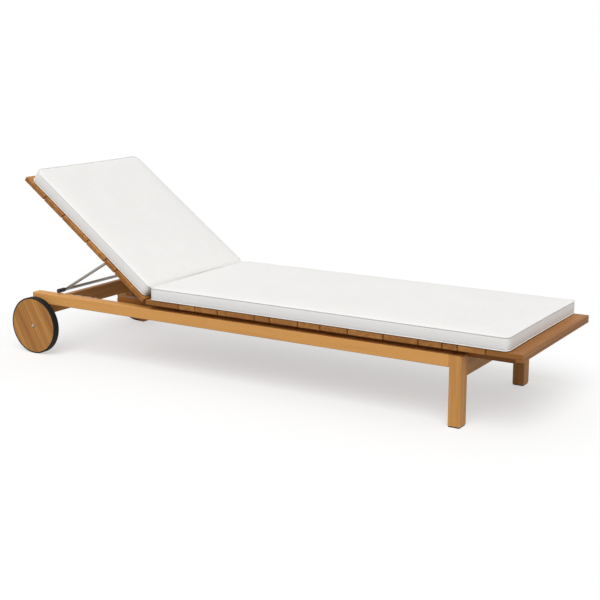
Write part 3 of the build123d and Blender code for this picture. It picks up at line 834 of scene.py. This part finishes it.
class LOUNGER_OT_wheels(LoungerOperator):
    """Gives the wheels their glued teak discs, rubber tyres and steel axles"""

    bl_idname = "lounger.wheels"
    bl_label = "Wheels"

    def execute(self, context):
        weathered = (0.42, 0.41, 0.39)
        for side, seed, stave_turn in WHEELS:
            disc = f"wheel_disc_{side}"
            dress(disc, teak(disc + "_teak", middle(disc), (radians(90), stave_turn, 0), seed,
                             stain_and_painted_light=0.50, stave=STAVE_WIDTH))
            dress(f"tyre_{side}", rubber(f"tyre_{side}_rubber"))
            dress(f"wheel_bush_{side}", moulded(f"wheel_bush_{side}_nylon", 0.42))
            bolt = f"axle_bolt_{side}"
            dress(bolt, steel(bolt + "_steel", weathered, SATIN, ACROSS))
        dress("axle_washers", steel("axle_washers_steel"))
        dress("axle_nuts", steel("axle_nuts_steel"))
        return {"FINISHED"}


class LOUNGER_OT_prop(LoungerOperator):
    """Gives the prop, its sleeves, the notched plates and the hinges their metal and plastic"""

    bl_idname = "lounger.prop"
    bl_label = "Prop and hinges"

    def execute(self, context):
        rod = {"colour": (0.33, 0.31, 0.28), "rough": SATIN}
        metals = {
            "prop_cross_bar": {**rod, "turn": ACROSS}, "prop_arm_left": rod, "prop_arm_right": rod,
            "prop_pivot_bolts": {"turn": ACROSS}, "hinge_pins": {"turn": ACROSS},
            "seat_hinge_leaves": {"rough": SATIN, "turn": ACROSS},
            "back_hinge_leaves": {"rough": SATIN, "turn": ACROSS},
            "notched_plate_left": {}, "notched_plate_right": {},
            "seat_screws": {}, "back_screws": {}}
        for node, finish in metals.items():
            dress(node, steel(node + "_steel", **finish))
        for node, rough in (("prop_end_caps", 0.42), ("prop_sleeves", 0.42), ("foot_pads", 0.6)):
            dress(node, moulded(node + "_plastic", rough))
        return {"FINISHED"}


class LOUNGER_OT_seat_cushion(LoungerOperator):
    """Makes the seat cushion with its two lines of piping"""

    bl_idname = "lounger.seat_cushion"
    bl_label = "Seat cushion"

    def execute(self, context):
        look = context.scene.lounger_cushions
        head = seat_low.x - look.head_swell
        width = seat_high.y - seat_low.y + 2 * (look.seat_side_swell - look.piping)
        origin = Vector(((head + seat_high.x) / 2, 0, deck_top + look.rest_gap))
        pieces = cushion(
            "seat_pad", "seat_cushion", "root", origin, Vector((1, 0, 0)), Vector((0, 0, 1)),
            seat_high.x - head, width, look.seat_corners, (0, 0, 0))
        for piece in pieces:
            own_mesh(piece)
        return {"FINISHED"}


class LOUNGER_OT_back_cushion(LoungerOperator):
    """Makes the back cushion with its two lines of piping"""

    bl_idname = "lounger.back_cushion"
    bl_label = "Back cushion"

    def execute(self, context):
        look = context.scene.lounger_cushions
        start = look.hinge_inset - look.fold_swell
        end = back_reach - look.top_inset
        width = seat_high.y - seat_low.y - 2 * (look.piping + look.back_side_inset)
        centre = hinge_point + along_back * ((start + end) / 2)
        centre += out_of_back * (face_out + look.rest_gap)
        centre.y += look.back_shift
        pieces = cushion(
            "back_pad", "back_cushion", "back", centre, -along_back, out_of_back,
            end - start, width, look.back_corners, (0, back_tilt, 0))
        anchor = hinge_point + along_back * end
        for piece in pieces:
            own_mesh(piece)
        return {"FINISHED"}


class LOUNGER_OT_stage(LoungerOperator):
    """Sets the pale floor, the even light, the key light and the camera"""

    bl_idname = "lounger.stage"
    bl_label = "Floor, lights and camera"

    def execute(self, context):
        look = context.scene.lounger_stage
        self.floor(look)
        self.world(context.scene, look)
        self.key_light(context.scene, look)
        self.camera(context.scene, look)
        context.scene.view_settings.view_transform = "Standard"
        return {"FINISHED"}

    def floor(self, look):
        """A flat square, white to the camera and greyer in the light that it throws back."""
        half = 30.0
        points = np.array([(-half, -half, 0), (half, -half, 0), (half, half, 0), (-half, half, 0)])
        mesh = bpy.data.meshes.new("floor")
        mesh.from_pydata(points.tolist(), [], [(0, 1, 2, 3)])
        shade = Shade("floor_paper")
        seen = self.seen(shade)
        colour = shade.mix(seen, look.floor_bounce, look.floor)
        shade.finish(Base_Color=colour, Roughness=1.0, Specular_IOR_Level=0.0)
        glow = shade.node("Emission", None, {"Color": look.floor, "Strength": 1.0})
        both = shade.node("MixShader", None, {0: seen * look.floor_glow, 2: glow})
        mix = both.socket.node
        shade.tree.links.new(shade.shader.outputs[0], mix.inputs[1])
        shade.tree.links.new(mix.outputs[0], shade.tree.nodes["Material Output"].inputs["Surface"])
        mesh.materials.append(shade.material)
        floor = bpy.data.objects.new("floor", mesh)
        bpy.context.scene.collection.objects.link(floor)

    @staticmethod
    def seen(shade):
        """One for camera, glossy and transmitted rays, and nothing for the light thrown back."""
        seen = shade.node("LightPath", output="Is Camera Ray")
        for ray in ("Is Glossy Ray", "Is Transmission Ray"):
            seen = seen.math("MAXIMUM", seen, shade.node("LightPath", output=ray))
        return seen

    def world(self, scene, look):
        """An even sky that the camera, glossy and transmitted rays see as white."""
        world = bpy.data.worlds.new("studio")
        world.use_nodes = True
        scene.world = world
        shade = Shade.on_tree(world.node_tree)
        strength = self.seen(shade) * (1.0 - look.sky) + look.sky
        background = world.node_tree.nodes["Background"]
        shade.fill(background.inputs["Strength"], strength)
        shade.fill(background.inputs["Color"], look.floor)

    def key_light(self, scene, look):
        """One soft light from high behind the camera, a little to its left."""
        data = bpy.data.lights.new("key", "SUN")
        data.energy, data.angle = look.sun, look.sun_spread
        light = bpy.data.objects.new("key", data)
        light.rotation_euler = Vector(look.sun_travel).to_track_quat("-Z", "Y").to_euler()
        scene.collection.objects.link(light)

    def camera(self, scene, look):
        """A camera at a heading, pitch and roll, its lens from the share of the picture's width."""
        data = bpy.data.cameras.new("camera")
        data.lens = data.sensor_width * look.focal_share
        view = Vector((cos(look.camera_pitch) * cos(look.camera_heading),
                       cos(look.camera_pitch) * sin(look.camera_heading), sin(look.camera_pitch)))
        aim = view.to_track_quat("-Z", "Y").to_matrix().to_4x4()
        turn = aim @ Matrix.Rotation(look.camera_roll, 4, "Z")
        camera = bpy.data.objects.new("camera", data)
        camera.matrix_world = Matrix.Translation(look.camera_place) @ turn
        scene.collection.objects.link(camera)
        scene.camera = camera


class LOUNGER_PT_panel(Panel):
    """Lists the steps and their settings"""

    bl_label = "Teak sun lounger"
    bl_idname = "LOUNGER_PT_panel"
    bl_space_type = "VIEW_3D"
    bl_region_type = "UI"
    bl_category = "Lounger"

    def draw(self, context):
        for group, operators in STEPS:
            box = self.layout.box()
            for operator in operators:
                box.operator(operator.bl_idname)
            settings = getattr(context.scene, group)
            for key in settings.bl_rna.properties.keys():
                if key not in ("rna_type", "name"):
                    box.prop(settings, key)


STEPS = (
    ("lounger_timber", (LOUNGER_OT_timber, LOUNGER_OT_wheels, LOUNGER_OT_prop)),
    ("lounger_cushions", (LOUNGER_OT_seat_cushion, LOUNGER_OT_back_cushion)),
    ("lounger_stage", (LOUNGER_OT_stage,)),
)
SETTINGS = {"lounger_timber": TimberSettings, "lounger_cushions": CushionSettings,
            "lounger_stage": StageSettings}


def register():
    """Registers the classes and hangs the settings on the scene."""
    for group, kind in SETTINGS.items():
        bpy.utils.register_class(kind)
        setattr(bpy.types.Scene, group, PointerProperty(type=kind))
    for _, operators in STEPS:
        for operator in operators:
            bpy.utils.register_class(operator)
    bpy.utils.register_class(LOUNGER_PT_panel)


def unregister():
    """Takes back what register did."""
    bpy.utils.unregister_class(LOUNGER_PT_panel)
    for _, operators in reversed(STEPS):
        for operator in reversed(operators):
            bpy.utils.unregister_class(operator)
    for group, kind in SETTINGS.items():
        delattr(bpy.types.Scene, group)
        bpy.utils.unregister_class(kind)


def main():
    """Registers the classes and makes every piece."""
    register()
    bpy.ops.lounger.stage()
    bpy.ops.lounger.timber()
    bpy.ops.lounger.wheels()
    bpy.ops.lounger.prop()
    bpy.ops.lounger.seat_cushion()
    bpy.ops.lounger.back_cushion()


if __name__ == "__main__":
    main()
